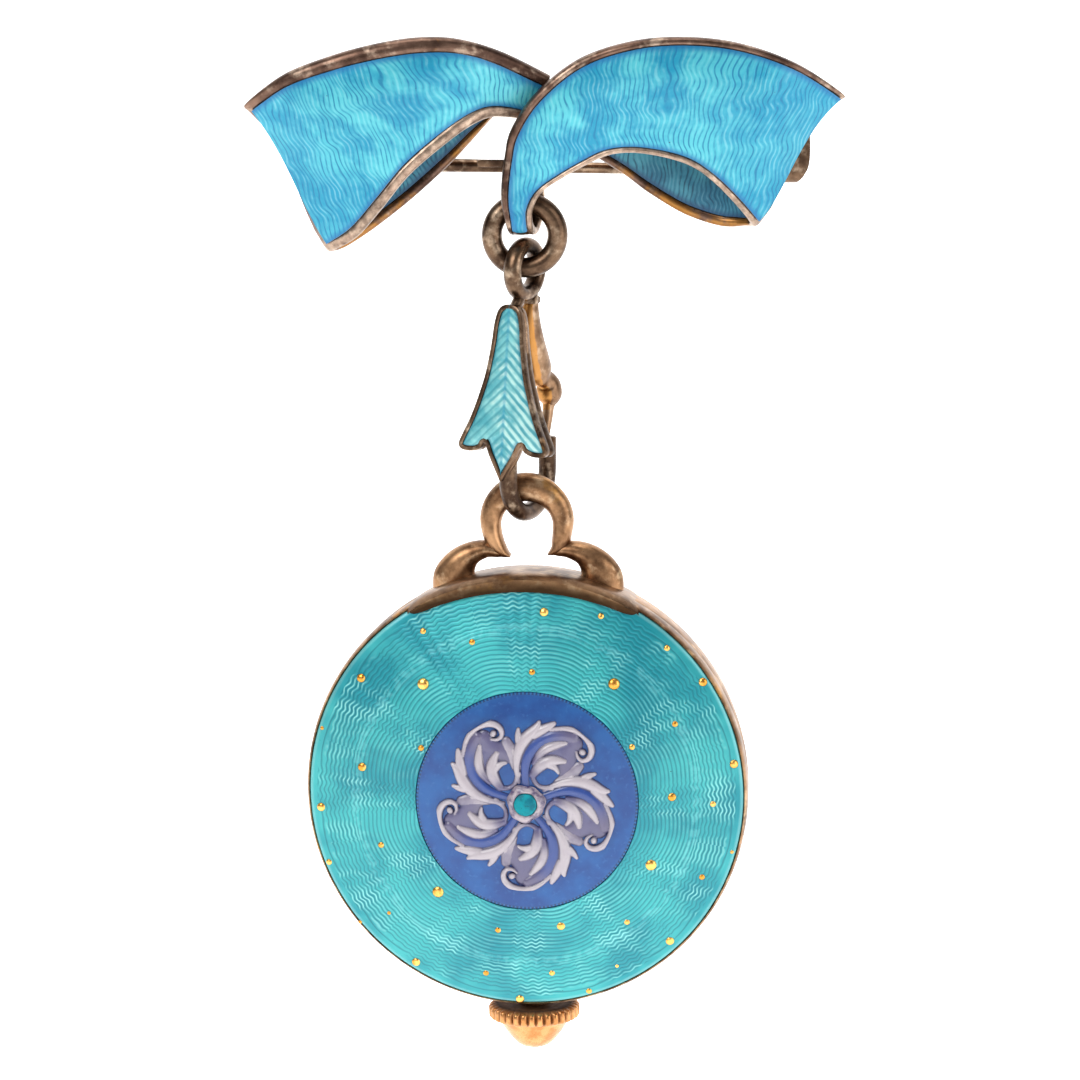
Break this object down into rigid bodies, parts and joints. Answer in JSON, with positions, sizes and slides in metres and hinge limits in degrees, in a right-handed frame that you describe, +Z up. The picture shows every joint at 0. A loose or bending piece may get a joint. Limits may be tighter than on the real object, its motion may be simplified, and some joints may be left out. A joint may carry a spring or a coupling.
{
  "type": "chatelaine watch pin",
  "caption": "Ribbon bow brooch with a ring and a leaf snap hook that carry a round pendant watch with an enamelled back.",
  "frame": {"origin": "on the axis of the brooch's pin, above the line on which the watch hangs; this is where the fabric sits on the pin", "axes": "+X to the viewer's right along the bow, +Y away from the viewer into the fabric, +Z up"},
  "size_m": [0.0359, 0.0105, 0.0639],
  "materials": {
    "silver_gilt": "tarnished silver-gilt",
    "sky_enamel": "sky-blue enamel over engine turning",
    "deep_enamel": "dark-blue enamel",
    "leaf_enamel": "blue-green enamel over chasing",
    "turquoise_enamel": "turquoise enamel over engine turning",
    "blue_enamel": "blue enamel",
    "white_enamel": "white enamel relief",
    "collar_white": "whitish collar",
    "gem": "polished turquoise stone",
    "gold": "polished gilt",
    "crystal": "clear glass",
    "dial_white": "white enamel dial",
    "movement_brass": "brushed brass",
    "hand_blue": "blued steel"
  },
  "bodies": {
    "brooch": {"bow_ribbon": "silver_gilt", "left_front_enamel": "sky_enamel", "left_back_enamel": "deep_enamel", "right_front_enamel": "sky_enamel", "right_back_enamel": "deep_enamel"},
    "pin": {"pin_stem": "silver_gilt"},
    "ring": {"jump_ring": "silver_gilt"},
    "clasp": {"clasp_frame": "silver_gilt", "leaf_enamel": "leaf_enamel"},
    "gate": {"gate_lever": "silver_gilt"},
    "watch": {"watch_case": "silver_gilt", "back_enamel": "turquoise_enamel", "medallion_enamel": "blue_enamel", "rosette": "white_enamel", "gem_collar": "collar_white", "gem": "gem", "bezel": "silver_gilt", "crystal": "crystal", "dial": "dial_white", "movement": "movement_brass"},
    "crown": {"crown": "gold"},
    "minute": {"minute_hand": "hand_blue"},
    "hour": {"hour_hand": "hand_blue"}
  },
  "joints": [
    {"name": "pin_open", "type": "hinge", "parent": "brooch", "child": "pin", "pos_m": [-0.0113, 0, 0], "axis": [0, 0, 1], "range_deg": [0, 80]},
    {"name": "ring_swing", "type": "hinge", "parent": "brooch", "child": "ring", "pos_m": [-0.00012, -0.0045, -0.00179], "axis": [1, 0, 0], "range_deg": [-40, 40]},
    {"name": "clasp_swing", "type": "hinge", "parent": "ring", "child": "clasp", "pos_m": [-0.00012, -0.0045, -0.0038], "axis": [0, 1, 0], "range_deg": [-25, 25]},
    {"name": "gate_open", "type": "hinge", "parent": "clasp", "child": "gate", "pos_m": [0.00053, -0.00337, -0.00786], "axis": [-0.866, 0.5, 0], "range_deg": [0, 20], "stiffness_Nm_per_rad": 0.0008, "springref_deg": -17.19},
    {"name": "watch_swing", "type": "hinge", "parent": "clasp", "child": "watch", "pos_m": [-0.00013, -0.0045, -0.01945], "axis": [0.9944, -0.1045, 0.0174], "range_deg": [-12, 25]},
    {"name": "crown_turn", "type": "hinge", "parent": "watch", "child": "crown", "pos_m": [0.0002, -0.0045, -0.0382], "axis": [-0.0174, 0.0018, 0.9998], "continuous": true},
    {"name": "minute_turn", "type": "hinge", "parent": "watch", "child": "minute", "pos_m": [0.0002, -0.0045, -0.0382], "axis": [-0.1045, -0.9945, 0], "continuous": true},
    {"name": "hour_turn", "type": "hinge", "parent": "watch", "child": "hour", "pos_m": [0.0002, -0.0045, -0.0382], "axis": [-0.1045, -0.9945, 0], "continuous": true}
  ],
  "couplings": [
    {"joint": "hour_turn", "follows": "minute_turn", "ratio": 0.083333}
  ]
}
